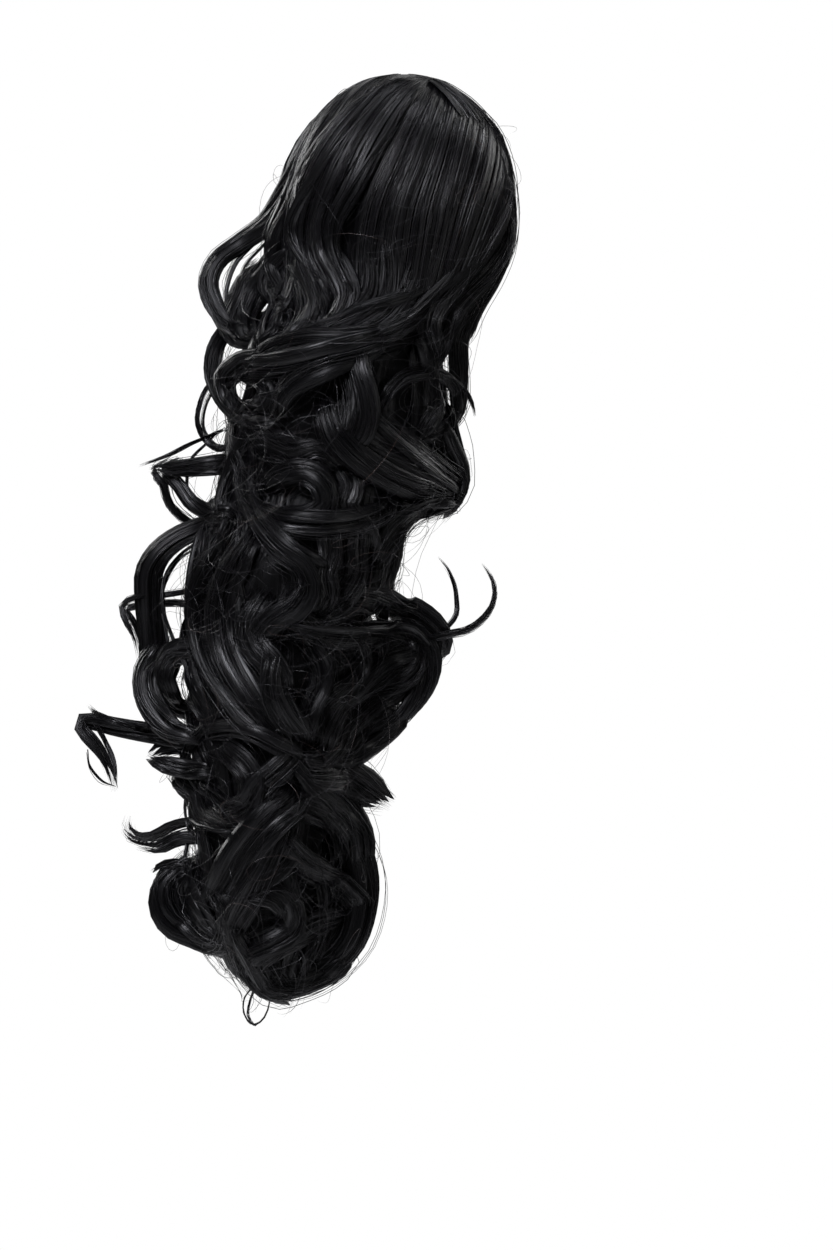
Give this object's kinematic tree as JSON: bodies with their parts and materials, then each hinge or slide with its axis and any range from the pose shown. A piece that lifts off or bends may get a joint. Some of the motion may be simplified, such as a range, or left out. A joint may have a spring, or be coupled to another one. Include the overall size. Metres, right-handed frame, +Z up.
{
  "type": "claw-clip ponytail hairpiece",
  "caption": "Long curly dark ponytail of loose hair sewn round a hidden claw clip, held up as it hangs from the back of a head.",
  "frame": {"origin": "the point on the back of the head where the claw clip sits, between its two rows of teeth", "axes": "+Z up along the hanging hair, +Y towards the wearer's face, +X towards the wearer's right"},
  "size_m": [0.1159, 0.2007, 0.4523],
  "materials": {
    "clip_plastic": "plain near-black moulded plastic",
    "hair_fibre": "near-black synthetic hair fibre with a soft grey sheen"
  },
  "bodies": {
    "root": {"claw_clip": "clip_plastic", "left_crown_weft": "hair_fibre", "right_crown_weft": "hair_fibre", "tail_hair": "hair_fibre"}
  },
  "joints": []
}
